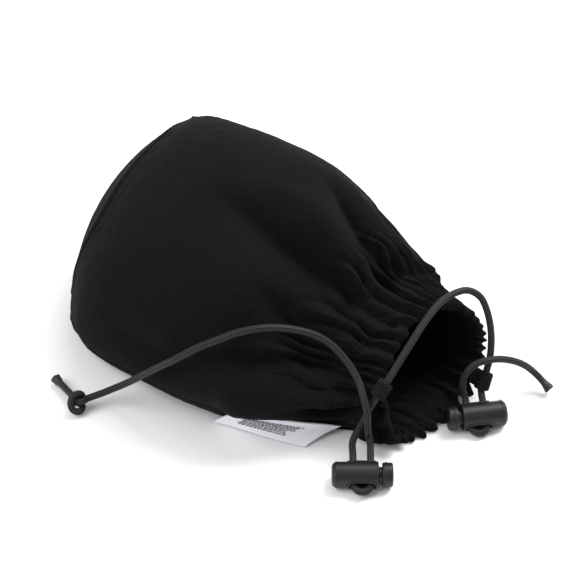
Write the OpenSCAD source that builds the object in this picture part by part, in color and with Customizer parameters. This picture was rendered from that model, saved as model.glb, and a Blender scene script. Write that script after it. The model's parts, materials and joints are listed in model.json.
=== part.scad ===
// Soft drawstring pouch for glasses, lying on its belly with the mouth at +X.
// Two fabric panels, a gathered casing with an elastic inside it, two tape loops,
// one round elastic cord and two spring-loaded barrel cord locks.
// Millimetres, +Z up. The underside lies on Z = 0.

/* [Pouch] */
// Thickness of the panel fabric
wall = 1.2; // [0.8:0.1:1.6]
// Depth of the hem casing through its three layers
casing_t = 3.0; // [2.8:0.1:3.4]
// Thickness of the elastic inside the casing
elastic_t = 0.6; // [0.4:0.1:0.7]
// How far the closed end curves out between its corners
end_curve = 13.5; // [8:0.5:16]
// How far the lower panel swells past the closed-end seam
end_swell = 6; // [3:0.5:8]
// Width of the bound seam allowance inside the pouch
seam_w = 5; // [3:0.5:7]

/* [Cord] */
// Diameter of the elastic cord
cord_d = 2.6; // [2.2:0.1:2.8]

/* [Cord locks] */
// Length of the lock barrel
barrel_l = 16; // [16:0.5:18]
// Diameter of the lock barrel
barrel_d = 9; // [8.6:0.1:9]
// Diameter of the bore that the plunger runs in
bore_d = 6.4; // [6.2:0.1:6.6]
// Radial running clearance of the plunger
run_fit = 0.05; // [0.03:0.01:0.09]
// Free travel of the plunger until the button meets the barrel
travel = 1.1; // [0.8:0.1:1.1]
// Distance between the two strands of cord in a lock
strand_gap = 6; // [5.8:0.1:6]

/* [Care label] */
// Length of the label along the seam
label_l = 34; // [24:1:38]
// Thickness of one layer of the label
label_t = 0.35; // [0.3:0.05:0.5]

/* [Hidden] */

black_fabric = [0.09, 0.09, 0.10];
cord_grey = [0.22, 0.21, 0.20];
lock_grey = [0.20, 0.20, 0.21];
steel = [0.65, 0.66, 0.68];
label_white = [0.88, 0.88, 0.92];

// Sections of the stuffed pouch: station along X, half width, half thickness,
// centre Y, centre Z, roll in degrees. The near side seam rolls down to the floor.
SEC = [
    [0, 47, 0.5, 6, 26.5, 22],
    [4, 49, 9, 5, 26.5, 22],
    [9, 49.5, 16, 4.5, 26.5, 22],
    [18, 50, 23.5, 3.5, 27, 23],
    [37, 51, 31, 1.5, 29, 24],
    [60, 51, 34.5, 0, 31.5, 25],
    [83, 49.5, 36, -1, 32.5, 25],
    [104, 44.5, 35, 1, 28.5, 23],
    [119, 37.5, 29, 5.5, 23.5, 19],
    [128, 32, 23.5, 9.5, 19, 17],
    [137, 28.5, 19.5, 11.5, 17, 15],
    [147, 26.5, 18, 12, 18, 13]];
NS = len(SEC);
// Middle of the flat part of the underside, used as the origin
ORIGIN = [76, -3, 0];
x_casing = 128;
x_lip = 147;

// Smooth curve through the section table, column k, at station x
function slope(k, i) = i <= 0 ? (SEC[1][k] - SEC[0][k]) / (SEC[1][0] - SEC[0][0])
    : i >= NS - 1 ? (SEC[NS - 1][k] - SEC[NS - 2][k]) / (SEC[NS - 1][0] - SEC[NS - 2][0])
    : ((SEC[i + 1][k] - SEC[i][k]) / (SEC[i + 1][0] - SEC[i][0])
        + (SEC[i][k] - SEC[i - 1][k]) / (SEC[i][0] - SEC[i - 1][0])) / 2;
function span_of(x, i = 0) = i >= NS - 2 || x < SEC[i + 1][0] ? i : span_of(x, i + 1);
function cubic(x, k, i, h, t) = (2 * t ^ 3 - 3 * t ^ 2 + 1) * SEC[i][k]
    + (t ^ 3 - 2 * t ^ 2 + t) * h * slope(k, i)
    + (-2 * t ^ 3 + 3 * t ^ 2) * SEC[i + 1][k]
    + (t ^ 3 - t ^ 2) * h * slope(k, i + 1);
function sec(x, k) = let (i = span_of(x), h = SEC[i + 1][0] - SEC[i][0])
    cubic(x, k, i, h, (x - SEC[i][0]) / h);
function lim(v, a, b) = max(a, min(b, v));
function spow(v, e) = sign(v) * pow(abs(v), e);

// Point of the pouch's skin at station x and angle a, off mm inside the outer face.
// Angle 0 is the far side seam, 90 the upper panel, 180 the near side seam.
function skin(x, a, off = 0) = let (
    w = sec(x, 1) - off, t = max(sec(x, 2) - off, 0),
    ro = sec(x, 5), c = cos(a), s = sin(a),
    kb = 1 - 0.25 * lim((x - 90) / 57, 0, 1),
    y = w * spow(c, 2 / 2.2), z = t * spow(s, 2 / 2.2) * (s < 0 ? kb : 1),
    yr = y * cos(ro) - z * sin(ro), zr = y * sin(ro) + z * cos(ro),
    psi = 7 - 16.5 * x / x_lip,
    tau = (zr < 0 ? 20 : 30) * lim((x - 92) / 55, 0, 1),
    g = end_swell * exp(-(x / 8.3) ^ 2) * lim(x / 2.8, 0, 1))
    [x - tan(psi) * yr - tan(tau) * zr - g * lim(-s, 0, 1)
        + end_curve * (y / 46) ^ 2 * exp(-(x / 20) ^ 2),
     sec(x, 3) + yr, max(sec(x, 4) + zr, off)];

// A closed solid from rows of points, each row a loop; ends capped unless ring is true.
// cap gives the triangles of an end that is not convex; turn lists the columns whose
// faces split along the other diagonal, so that the two sides of a thin sheet match.
module loft(rows, ring = false, cap = [], turn = []) {
    m = len(rows); n = len(rows[0]);
    pts = [for (r = rows) for (p = r) p];
    sides = [for (i = [0 : ring ? m - 1 : m - 2]) for (j = [0 : n - 1])
        let (a = i * n + j, b = i * n + (j + 1) % n,
             c = ((i + 1) % m) * n + j, d = ((i + 1) % m) * n + (j + 1) % n)
        each (search(j, turn) == [] ? [[a, b, d], [a, d, c]] : [[a, b, c], [b, d, c]])];
    caps = ring ? [] : cap == [] ? [[for (j = [n - 1 : -1 : 0]) j], [for (j = [0 : n - 1]) (m - 1) * n + j]]
        : [for (c = cap) each [[c[2], c[1], c[0]], [for (j = c) (m - 1) * n + j]]];
    polyhedron(points = pts, faces = concat(sides, caps), convexity = 6);
}

// Stations used for the two panels
XP = [0, 1.5, 4, 8, 14, 22, 32, 45, 60, 75, 90, 104, 116, x_casing];

// One panel is the half of the skin between angles a0 and a0 + 180
module panel(a0) {
    n = 12; m = len(XP);
    // grid of outer points, then inner points
    out = [for (x = XP) for (j = [0 : n]) skin(x, a0 + 180 * j / n, 0)];
    inn = [for (x = XP) for (j = [0 : n]) skin(x, a0 + 180 * j / n, wall)];
    k = m * (n + 1);
    function q(i, j) = i * (n + 1) + j;
    polyhedron(points = concat(out, inn), convexity = 6, faces = concat(
        [for (i = [0 : m - 2]) for (j = [0 : n - 1]) each
            [[q(i, j), q(i + 1, j + 1), q(i, j + 1)], [q(i, j), q(i + 1, j), q(i + 1, j + 1)]]],
        [for (i = [0 : m - 2]) for (j = [0 : n - 1]) each
            [[k + q(i, j), k + q(i, j + 1), k + q(i + 1, j + 1)],
             [k + q(i, j), k + q(i + 1, j + 1), k + q(i + 1, j)]]],
        [for (i = [0 : m - 2]) each
            [[q(i, 0), k + q(i, 0), k + q(i + 1, 0)], [q(i, 0), k + q(i + 1, 0), q(i + 1, 0)],
             [q(i, n), q(i + 1, n), k + q(i + 1, n)], [q(i, n), k + q(i + 1, n), k + q(i, n)]]],
        [for (j = [0 : n - 1]) each
            [[q(0, j), q(0, j + 1), k + q(0, j + 1)], [q(0, j), k + q(0, j + 1), k + q(0, j)],
             [q(m - 1, j), k + q(m - 1, j + 1), q(m - 1, j + 1)],
             [q(m - 1, j), k + q(m - 1, j), k + q(m - 1, j + 1)]]]));
}

module front_panel() { translate(-ORIGIN) color(black_fabric) panel(0); }
module back_panel() { translate(-ORIGIN) color(black_fabric) panel(180); }

// Middle of the seam allowance at station x on side s (0 far, 180 near), in by d
function inside(x, s, d, dz) = let (p = skin(x, s, d)) [p.x, p.y, max(p.z + dz, 1.5 + dz)];
// Strip of bound seam allowance: along the far side, round the closed end, back along the near side
module seam_binding() {
    far = [for (x = [126, 116, 104, 90, 75, 60, 45, 32, 24, 16, 12]) [x, 0]];
    near = [for (i = [len(far) - 1 : -1 : 0]) [far[i][0], 180]];
    function edge(r, d, dz) = let (p = inside(r[0], r[1], d, dz)) p;
    sides = [for (r = concat(far, near))
        [edge(r, wall - 0.3, 0.6), edge(r, wall + seam_w, 0.6), edge(r, wall + seam_w, -0.6), edge(r, wall - 0.3, -0.6)]];
    translate(-ORIGIN) color(black_fabric) loft(sides);
}

// The folded hem: outer layer, fold at the lip, inner layer. U section, open towards the closed end.
SEG = 24;
module mouth_casing() {
    c = casing_t; l = x_lip - x_casing;
    prof = [[0, 0], [0.3, 0], [0.6, 0], [0.85, 0], [0.97, 0.2], [1, c * 0.35], [1, c * 0.65], [0.97, c - 0.2],
        [0.85, c], [0.6, c], [0.3, c], [0, c], [0, c - 1.0], [0.1, c - 1.0], [0.3, c - 1.0], [0.6, c - 1.0],
        [0.8, c - 1.0], [0.9, c - 1.0], [0.9, 1.0], [0.8, 1.0], [0.6, 1.0], [0.3, 1.0], [0.1, 1.0], [0, 1.0]];
    translate(-ORIGIN) color(black_fabric) loft([for (j = [0 : SEG - 1])
        [for (p = prof) skin(x_casing + l * p[0], 360 * j / SEG, p[1])]], ring = true);
}

module mouth_elastic() {
    l = x_lip - x_casing; m = casing_t / 2; e = elastic_t / 2;
    prof = [[0.1, m - e], [0.3, m - e], [0.6, m - e], [0.8, m - e],
        [0.8, m + e], [0.6, m + e], [0.3, m + e], [0.1, m + e]];
    translate(-ORIGIN) color([0.8, 0.8, 0.78]) loft([for (j = [0 : SEG - 1])
        [for (p = prof) skin(x_casing + l * p[0], 360 * j / SEG, p[1])]], ring = true);
}

// Cord: a tube through the points of a route
VIEW = [0.45, -0.6, 0.67];
function unit(v) = v / norm(v);
function ring_at(P, i, r, n) = let (
    t = unit(P[min(i + 1, len(P) - 1)] - P[max(i - 1, 0)]),
    a = unit(cross(t, VIEW)), b = cross(t, a))
    [for (j = [0 : n - 1]) P[i] + r * (cos(360 * j / n) * a - sin(360 * j / n) * b)];
module tube(P, d, n = 8) { loft([for (i = [0 : len(P) - 1]) ring_at(P, i, d / 2, n)]); }

// Frame of a lock: place, heading, and how steeply its strands rise from the floor
near_at = [146, -34.5, 4.5]; near_turn = 37; near_rise = 15;
far_at = [165.5, 16, 4.5]; far_turn = 46; far_rise = 24;
slot_x = 2.4;
function in_lock(at, turn, rise, x, y) = at + [
    x * cos(turn) - y * cos(rise) * sin(turn),
    x * sin(turn) + y * cos(rise) * cos(turn),
    y * sin(rise)];
function u_turn(at, turn, rise, x0, y_end) = concat(
    [for (y = [y_end, y_end - 5, 1.5, -4.4]) in_lock(at, turn, rise, x0 - strand_gap / 2, y)],
    [for (a = [-150 : 30 : -30]) in_lock(at, turn, rise, x0 + strand_gap / 2 * cos(a), -4.4 + strand_gap / 2 * sin(a))],
    [for (y = [-4.4, 1.5, y_end - 5, y_end]) in_lock(at, turn, rise, x0 + strand_gap / 2, y)]);

// Middle and heading of each tape loop; the cord runs straight through it
near_loop_at = [141.5, -13.5, 26]; near_loop_dir = [0.17, 0.68, 0.71];
far_loop_at = [159.4, 24.5, 11.2]; far_loop_dir = [-0.07, 0.53, 0.845];

function rev(l) = [for (i = [len(l) - 1 : -1 : 0]) l[i]];

// From the near tape loop, down and back through the near lock, over the pouch to the knot
ROUTE_TAIL = concat(
    [near_loop_at, near_loop_at - 3.5 * near_loop_dir, [139.8, -18, 19.5], [138.8, -19.2, 15], [138, -20.5, 11.5]],
    u_turn(near_at, near_turn, near_rise, slot_x, 13),
    [[141.5, -20.5, 10], [142, -22, 15.5], [141.5, -21.5, 20], [138.5, -19.5, 24.5], [133, -16, 28.5],
     [128.5, -15, 32], [122.5, -15.5, 37], [118, -18, 41], [113, -22.5, 44.5], [106, -30, 47.5], [99, -37.5, 47],
     [94, -42.5, 44.5], [88.5, -47, 41], [82.5, -50.5, 35.5], [74.5, -52, 27.5], [67.5, -52.5, 20],
     [61.5, -53, 13.5], [56.5, -54.5, 9], [52.5, -57, 6], [49.5, -60, 4.5], [47.8, -62.3, 3.9]]);
// Span over the mouth, from the near tape loop to the far one
ROUTE_SPAN = [near_loop_at, near_loop_at + 3.5 * near_loop_dir, [142.5, -5, 33], [142.5, 1.5, 36.5], [142, 11, 40],
    [142, 20, 42], [143.5, 26.5, 42.5], [146, 32, 41.5], [149.5, 34.5, 38.5], [152.5, 34.5, 34], [155.5, 33, 28.5],
    [157.5, 31, 23], [158.8, 28.5, 18], far_loop_at + 3.5 * far_loop_dir, far_loop_at];
// From the far tape loop, down and back through the far lock, up in an arch to the bare end
ROUTE_FAR = concat(
    [far_loop_at, far_loop_at - 3.2 * far_loop_dir],
    rev(u_turn(far_at, far_turn, far_rise, -slot_x, 7)),
    [[155.5, 17.2, 10], [155, 17.8, 14.5], [156, 19.5, 18.2], [157.4, 22.2, 20], [159.6, 25.3, 20.5], [162, 30, 19],
     [165, 35.5, 15.5], [167.5, 39.5, 11.5], [169.5, 42.2, 7.5], [171.5, 43.2, 5.2]]);

module cord_tail() { translate(-ORIGIN) color(cord_grey) tube(ROUTE_TAIL, cord_d); }
module cord_span() { translate(-ORIGIN) color(cord_grey) tube(ROUTE_SPAN, cord_d); }
module cord_far() { translate(-ORIGIN) color(cord_grey) tube(ROUTE_FAR, cord_d); }

// Turn +Z onto a direction
module along(d) {
    u = unit(d);
    rotate([0, acos(u.z), atan2(u.y, u.x)]) children();
}

// The overhand knot, drawn as a ring with a crossing over it
knot_at = [46, -64.8, 3.7];
module cord_knot() {
    translate(-ORIGIN) color(cord_grey) translate(knot_at) {
        rotate([0, 0, 20]) rotate_extrude($fn = 40) translate([2.4, 0]) circle(cord_d / 2, $fn = 24);
        sphere(2.2, $fn = 32);
    }
}

// A cord end: the last of the cord, then the heat-fused flare
module flared(from, to, len) {
    d = to - from; l = norm(d);
    translate(from) along(d) {
        cylinder(h = l, d = cord_d, $fn = 24);
        translate([0, 0, l]) cylinder(h = len, r1 = cord_d / 2, r2 = cord_d * 0.78, $fn = 24);
    }
}
module tail_tip() { translate(-ORIGIN) color(cord_grey) flared([43.2, -63.3, 3.4], [34.6, -60.4, 2.5], 3.8); }
module far_tip() { translate(-ORIGIN) color(cord_grey) flared([171.5, 43.2, 5.2], [173.4, 43, 4.2], 3.6); }

// Ribbed tape folded round the cord, its two tails laid together and sewn into the casing.
// at, dir: middle and heading of the cord; into: where the tails enter the hem
module tape_loop(at, dir, into) {
    w = unit(dir);
    q = into - at - ((into - at) * w) * w;
    d = unit(q); n = cross(w, d);
    difference() {
        union() {
            translate(at) along(dir) cylinder(h = 6, d = 5.4, center = true, $fn = 32);
            multmatrix([[d.x, n.x, w.x, at.x], [d.y, n.y, w.y, at.y], [d.z, n.z, w.z, at.z], [0, 0, 0, 1]])
                translate([1.9, -0.8, -2.9]) cube([norm(q) - 1.9, 1.6, 5.8]);
        }
        translate(at) along(dir) cylinder(h = 8, d = cord_d + 0.6, center = true, $fn = 32);
    }
}
module near_tape_loop() { translate(-ORIGIN) color(black_fabric) tape_loop(near_loop_at, near_loop_dir, [139.5, -10.8, 24]); }
module far_tape_loop() { translate(-ORIGIN) color(black_fabric) tape_loop(far_loop_at, far_loop_dir, [151.5, 26.8, 9]); }

// Folded care label, sewn in the near side seam, its fold hanging down to the floor
module care_label() {
    n = 6;
    rows = [for (i = [0 : n]) let (
        t = i / n,
        T = skin(102 + (label_l - 6) * t, 180, 0.4),
        B = [89.5, -40.5, 0.6] + label_l * t * [0.96, 0.29, 0],
        o = [0.29, -0.92, -0.26], B1 = B + 0.1 * (T - B), k = label_t)
        [T, B, B + 2.4 * k * o, T + 2.4 * k * o, T + 1.4 * k * o, B1 + 1.4 * k * o, B1 + k * o, T + k * o]];
    translate(-ORIGIN) color(label_white) loft(rows, cap = [[0, 1, 6], [0, 6, 7], [1, 2, 5], [1, 5, 6], [2, 3, 4], [2, 4, 5]], turn = [2, 6]);
}

// Barrel cord lock in its own frame: +X towards the button, strands along Y, floor at -Z
module lock_frame(at, turn, rise, flip) {
    translate(at) rotate([0, 0, turn]) rotate([rise, 0, 0]) mirror([flip, 0, 0]) children();
}
// Oval slot that both strands pass through, from x0 to x1
module slot(x0, x1, r) {
    for (x = [x0 + r, x1 - r]) translate([x, 0, 0]) rotate([90, 0, 0]) cylinder(h = 14, r = r, center = true, $fn = 32);
    translate([x0 + r, -7, -r]) cube([x1 - x0 - 2 * r, 14, 2 * r]);
}
half = strand_gap / 2 + cord_d / 2;
slot_r = cord_d / 2 + 0.3;
// Quarter round points of radius r about [cx, cy], from angle a to b
function arc(cx, cy, r, a, b, n = 6) = [for (i = [0 : n]) [cx + r * cos(a + (b - a) * i / n), cy + r * sin(a + (b - a) * i / n)]];
module barrel() {
    R = barrel_d / 2; L = barrel_l / 2;
    difference() {
        rotate([0, 90, 0]) rotate_extrude($fn = 64)
            polygon(concat([[0, -L]], arc(R - 1.8, -L + 1.8, 1.8, -90, 0), arc(R - 0.5, L - 0.5, 0.5, 0, 90, 4), [[0, L]]));
        translate([-L + 1.2, 0, 0]) rotate([0, 90, 0]) cylinder(h = barrel_l, d = bore_d, $fn = 64);
        slot(slot_x - half - 0.3, slot_x + half + 0.3, slot_r);
    }
}
button_x = barrel_l / 2 + travel + 0.2;
module plunger() {
    R = bore_d / 2 - run_fit;
    difference() {
        rotate([0, 90, 0]) rotate_extrude($fn = 64)
            polygon(concat([[0, -3], [R - 0.3, -3], [R, -2.7], [R, 8.1], [R - 0.5, 8.3], [R - 0.5, button_x]],
                arc(3.8, button_x + 0.4, 0.4, -90, 0, 3), arc(3.4, 12.2, 0.8, 0, 90, 5), [[0, 13]]));
        slot(slot_x - half - 0.3, slot_x + half + travel + 0.3, slot_r);
    }
}
// Compression spring between the barrel's end wall and the plunger
module spring() {
    turns = 3.5; n = 10; x0 = -6.5; x1 = -3.3; r = 2.2;
    P = [for (i = [0 : turns * n]) [x0 + (x1 - x0) * i / (turns * n), r * cos(360 * i / n), r * sin(360 * i / n)]];
    tube(P, 0.4, 6);
}

module near_lock_barrel() { translate(-ORIGIN) color(lock_grey) lock_frame(near_at, near_turn, near_rise, 0) barrel(); }
module near_lock_plunger() { translate(-ORIGIN) color(lock_grey) lock_frame(near_at, near_turn, near_rise, 0) plunger(); }
module near_lock_spring() { translate(-ORIGIN) color(steel) lock_frame(near_at, near_turn, near_rise, 0) spring(); }
module far_lock_barrel() { translate(-ORIGIN) color(lock_grey) lock_frame(far_at, far_turn, far_rise, 1) barrel(); }
module far_lock_plunger() { translate(-ORIGIN) color(lock_grey) lock_frame(far_at, far_turn, far_rise, 1) plunger(); }
module far_lock_spring() { translate(-ORIGIN) color(steel) lock_frame(far_at, far_turn, far_rise, 1) spring(); }

front_panel();
back_panel();
seam_binding();
mouth_casing();
mouth_elastic();
near_tape_loop();
far_tape_loop();
care_label();
cord_tail();
cord_span();
cord_far();
cord_knot();
tail_tip();
far_tip();
near_lock_barrel();
near_lock_plunger();
near_lock_spring();
far_lock_barrel();
far_lock_plunger();
far_lock_spring();
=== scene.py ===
import bpy
import json
import math
import numpy as np
from mathutils import Vector, Matrix

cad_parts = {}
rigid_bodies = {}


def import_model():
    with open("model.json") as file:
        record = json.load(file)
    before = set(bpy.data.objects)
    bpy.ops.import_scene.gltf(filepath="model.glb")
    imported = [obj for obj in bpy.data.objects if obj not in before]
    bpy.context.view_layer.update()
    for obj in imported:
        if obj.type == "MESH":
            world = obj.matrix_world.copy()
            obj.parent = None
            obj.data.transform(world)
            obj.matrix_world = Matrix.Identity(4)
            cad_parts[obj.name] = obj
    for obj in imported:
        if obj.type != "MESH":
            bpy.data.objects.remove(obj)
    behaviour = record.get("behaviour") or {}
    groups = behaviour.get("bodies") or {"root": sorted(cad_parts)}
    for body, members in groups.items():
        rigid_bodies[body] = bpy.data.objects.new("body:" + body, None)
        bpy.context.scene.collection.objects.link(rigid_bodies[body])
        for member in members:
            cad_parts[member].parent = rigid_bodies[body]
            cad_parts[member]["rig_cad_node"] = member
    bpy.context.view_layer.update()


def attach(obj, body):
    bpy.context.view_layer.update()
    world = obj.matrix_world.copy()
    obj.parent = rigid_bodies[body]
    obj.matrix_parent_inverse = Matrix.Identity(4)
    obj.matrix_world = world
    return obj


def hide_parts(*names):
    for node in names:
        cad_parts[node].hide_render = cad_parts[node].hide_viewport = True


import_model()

# ---------------------------------------------------------------- frame and camera
ORG = np.array([76.0, -3.0, 0.0])  # working coordinates are millimetres; this is the row's origin


def m(p):
    return (np.asarray(p, float) - ORG) / 1000.0


def unit(v):
    v = np.asarray(v, float)
    return v / np.linalg.norm(v)


AZ, EL = math.radians(37), math.radians(42)
UP = np.array([-math.sin(AZ) * math.sin(EL), math.cos(AZ) * math.sin(EL), math.cos(EL)])
BACK = np.array([math.sin(AZ) * math.cos(EL), -math.cos(AZ) * math.cos(EL), math.sin(EL)])
RIGHT = np.array([math.cos(AZ), math.sin(AZ), 0.0])
TARGET = np.array([84.0, 9.7, 25.0])

cam_data = bpy.data.cameras.new("camera")
cam_data.sensor_width = 36.0
cam_data.lens = 36.0 * 750.0 * 2.77 / 576.0
cam_data.clip_start, cam_data.clip_end = 0.02, 20.0
cam = bpy.data.objects.new("camera", cam_data)
bpy.context.scene.collection.objects.link(cam)
cam.location = m(TARGET + 750.0 * BACK)
cam.rotation_mode = "QUATERNION"
cam.rotation_quaternion = Vector(-BACK).to_track_quat("-Z", "Y")
bpy.context.scene.camera = cam


# ---------------------------------------------------------------- small tools
def smooth(a, b, x):
    t = np.clip((np.asarray(x, float) - a) / (b - a), 0, 1)
    return t * t * (3 - 2 * t)


class Field:
    """Smooth seeded noise, -1 to 1, over (s, t); s wraps after ns cells."""

    def __init__(self, seed, ns, nt):
        self.g = np.random.RandomState(seed).uniform(-1, 1, (ns, nt + 2))
        self.ns, self.nt = ns, nt

    def __call__(self, s, t):
        s = np.asarray(s, float) % 1.0 * self.ns
        t = np.clip(np.asarray(t, float), 0, 0.9999) * self.nt
        i, j = np.floor(s).astype(int), np.floor(t).astype(int)
        a, b = s - i, t - j
        a, b = a * a * (3 - 2 * a), b * b * (3 - 2 * b)
        i0, i1 = i % self.ns, (i + 1) % self.ns
        g = self.g
        return (g[i0, j] * (1 - a) + g[i1, j] * a) * (1 - b) + (g[i0, j + 1] * (1 - a) + g[i1, j + 1] * a) * b


def add_mesh(name, verts, faces, uv=None, flat=False):
    """verts in working millimetres, faces as lists, uv per vertex in millimetres."""
    me = bpy.data.meshes.new(name)
    me.from_pydata([tuple(v) for v in m(verts)], [], [tuple(int(i) for i in f) for f in faces])
    if uv is not None:
        lay = me.uv_layers.new(name="weave")
        idx = np.zeros(len(me.loops), np.int64)
        me.loops.foreach_get("vertex_index", idx)
        lay.data.foreach_set("uv", np.asarray(uv, float)[idx].reshape(-1))
    me.polygons.foreach_set("use_smooth", [not flat] * len(me.polygons))
    me.update()
    ob = bpy.data.objects.new(name, me)
    bpy.context.scene.collection.objects.link(ob)
    return ob


def grid_faces(r, c, wrap=True, base=0):
    out = []
    for i in range(r - 1):
        for j in range(c if wrap else c - 1):
            k = (j + 1) % c
            out.append((base + i * c + j, base + i * c + k, base + (i + 1) * c + k, base + (i + 1) * c + j))
    return out


# ---------------------------------------------------------------- the pouch's skin
SEC = np.array([
    [0, 47, 0.5, 6, 26.5, 22], [4, 49, 9, 5, 26.5, 22], [9, 49.5, 16, 4.5, 26.5, 22],
    [18, 50, 23.5, 3.5, 27, 23], [37, 51, 31, 1.5, 29, 24], [60, 51, 34.5, 0, 31.5, 25],
    [83, 49.5, 36, -1, 32.5, 25], [104, 44.5, 35, 1, 28.5, 23], [119, 37.5, 29, 5.5, 23.5, 19],
    [128, 32, 23.5, 9.5, 19, 17], [137, 28.5, 19.5, 11.5, 17, 15], [147, 26.5, 18, 12, 18, 13.0]])


def sec(x, k):
    X, Y = SEC[:, 0], SEC[:, k]
    n = len(X)
    i = np.clip(np.searchsorted(X, x, side="right") - 1, 0, n - 2)
    d = np.diff(Y) / np.diff(X)
    s = np.concatenate([[d[0]], (d[1:] + d[:-1]) / 2, [d[-1]]])
    h = X[i + 1] - X[i]
    t = (x - X[i]) / h
    return (2 * t**3 - 3 * t**2 + 1) * Y[i] + (t**3 - 2 * t**2 + t) * h * s[i] + (-2 * t**3 + 3 * t**2) * Y[i + 1] + (t**3 - t**2) * h * s[i + 1]


def skin(x, a):
    """x: station (mm), a: angle in radians; 0 far seam, 90 degrees upper panel, 180 near seam."""
    x, a = np.broadcast_arrays(np.asarray(x, float), np.asarray(a, float))
    w, t, cy, cz, ro = (sec(x, k) for k in (1, 2, 3, 4, 5))
    ro = np.radians(ro)
    c, s = np.cos(a), np.sin(a)
    e = 2 / 2.2
    y = w * np.sign(c) * np.abs(c) ** e
    kb = 1 - 0.25 * np.clip((x - 90) / 57, 0, 1)
    z = t * np.sign(s) * np.abs(s) ** e * np.where(s < 0, kb, 1)
    yr = y * np.cos(ro) - z * np.sin(ro)
    zr = y * np.sin(ro) + z * np.cos(ro)
    psi = np.radians(7 - 16.5 * x / 147)
    tau = np.radians(np.where(zr < 0, 20, 30) * np.clip((x - 92) / 55, 0, 1))
    g = 6 * np.exp(-((x / 8.3) ** 2)) * np.clip(x / 2.8, 0, 1)
    X = x - np.tan(psi) * yr - np.tan(tau) * zr - g * np.clip(-s, 0, 1) + 13.6 * (y / 46) ** 2 * np.exp(-((x / 20) ** 2))
    return np.stack([X, cy + yr, np.maximum(cz + zr, 0)], -1)


X_HEM = 129.5
X_LIP = 147.0
NT = 528
XS = np.concatenate([np.arange(0, 6, 0.5), np.arange(6, 20, 1.0), np.arange(20, 96, 1.25), np.arange(96, 124, 0.7),
                     np.arange(124, X_LIP + 0.01, 0.35)])
XS[np.argmin(abs(XS - X_HEM))] = X_HEM
TH = np.arange(NT) * 2 * math.pi / NT
GX, GT = np.meshgrid(XS, TH, indexing="ij")
BASE = skin(GX, GT)
# outward normals of the smooth skin
du = np.gradient(BASE, axis=0)
dv = (np.roll(BASE, -1, 1) - np.roll(BASE, 1, 1)) / 2
NRM = np.cross(dv, du)
NRM /= np.maximum(np.linalg.norm(NRM, axis=2, keepdims=True), 1e-9)
mid = BASE.mean(1, keepdims=True)
sgn = np.sign(((BASE - mid) * NRM).sum(2).mean())
NRM *= sgn
for _ in range(6):  # even out the normals at the floor's edge and along the closed end
    NRM = (np.roll(NRM, 1, 1) + np.roll(NRM, -1, 1) + 2 * NRM) / 4
NRM /= np.maximum(np.linalg.norm(NRM, axis=2, keepdims=True), 1e-9)
# weave coordinates: arc length round the hoop, arc length along the axis
UU = np.cumsum(np.linalg.norm(BASE - np.roll(BASE, 1, 1), axis=2), axis=1)
UU -= UU[:, :1]
VV = np.concatenate([np.zeros((1, NT)), np.cumsum(np.linalg.norm(np.diff(BASE, axis=0), axis=2), axis=0)])
VV -= VV[np.argmin(abs(XS - 60))][None, :]
DEG = np.degrees(GT)


def along(pts, P, N):
    """Distance of points P from a line, which side of it (by the normals N), and the line's 4th value there."""
    pts = np.asarray(pts, float)
    best = np.full(len(P), 1e9)
    side = np.zeros(len(P))
    val = np.zeros(len(P))
    for a, b in zip(pts[:-1], pts[1:]):
        ab = b[:3] - a[:3]
        t = np.clip(((P - a[:3]) @ ab) / (ab @ ab), 0, 1)
        v = P - (a[:3] + t[:, None] * ab)
        d = np.linalg.norm(v, axis=1)
        k = d < best
        best[k] = d[k]
        side[k] = np.sign((v[k] * np.cross(N[k], ab)).sum(1))
        val[k] = (a[3] + t * (b[3] - a[3]))[k]
    return best, side, val


def crease(D, pts, w_left, w_right, sign=-1.0, soft=0.8):
    """A fold along a line on the skin: down (valley) or up (ridge), w on each side of the heading."""
    pts = np.asarray(pts, float)
    lo, hi = pts[:, :3].min(0) - 30, pts[:, :3].max(0) + 30
    P = BASE.reshape(-1, 3)
    k = ((P > lo) & (P < hi)).all(1)
    d, s, v = along(pts, P[k], NRM.reshape(-1, 3)[k])
    w = np.where(s > 0, w_left, w_right)
    f = np.exp(-(((np.sqrt(d * d + soft * soft) - soft) / w) ** 1.25))
    flat = D.reshape(-1)
    flat[k] += sign * v * f


D = np.zeros_like(GX)
WARP = Field(3, 9, 5)
BROAD = Field(11, 14, 4)
AMP = Field(5, 46, 5)
FINE = Field(8, 90, 60)
FINE2 = Field(9, 160, 90)

# the view's own folds, from the belly into the hem (x, y, z, depth)
crease(D, [(52, -3, 67, 0), (60, -3.5, 68.5, 1.2), (66, -4.5, 69, 2.6), (72.5, -5.5, 69, 4.2), (80, -6, 69, 6.0), (88.5, -6.5, 68.5, 7.6), (96.5, -6, 65.5, 8.6),
           (103.5, -3.5, 60, 8.6), (110, -1, 52.5, 7.6), (115, 1.5, 47, 6.0), (118.5, 3.5, 42.5, 4.4), (122, 5, 39, 2.2)], 3.8, 11.0)
crease(D, [(88, 23, 72, 0), (93, 23, 69.5, 1.6), (97, 23, 67.5, 3.2), (101.5, 22.5, 64.5, 5.0), (105.5, 21.5, 61, 5.6), (109.5, 20.5, 57, 5.6),
           (113, 20, 53.5, 6.0), (116.5, 20.5, 49, 5.6), (119.5, 22, 45, 4.8), (123, 26.5, 41.5, 3.2), (126.5, 31, 37.5, 1.6)], 3.2, 5.5)
crease(D, [(40, -43, 36, 0), (46, -45, 32, 0.8), (54, -48, 28, 2.2), (64, -49, 27.5, 3.6), (75.5, -49.5, 28.5, 5.0), (88.5, -46, 35.5, 6.2), (100.5, -39.5, 36, 6.8),
           (111, -30.5, 33.5, 6.0), (117.5, -22.5, 30, 4.6), (124, -16.5, 26.5, 2.6)], 9.0, 5.0)
crease(D, [(98, -38.5, 42, 0.5), (105, -33.5, 39.5, 2.2), (112, -26.5, 36, 2.4), (118.5, -18, 32, 1.2)], 2.8, 2.4, 1.0)
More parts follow.
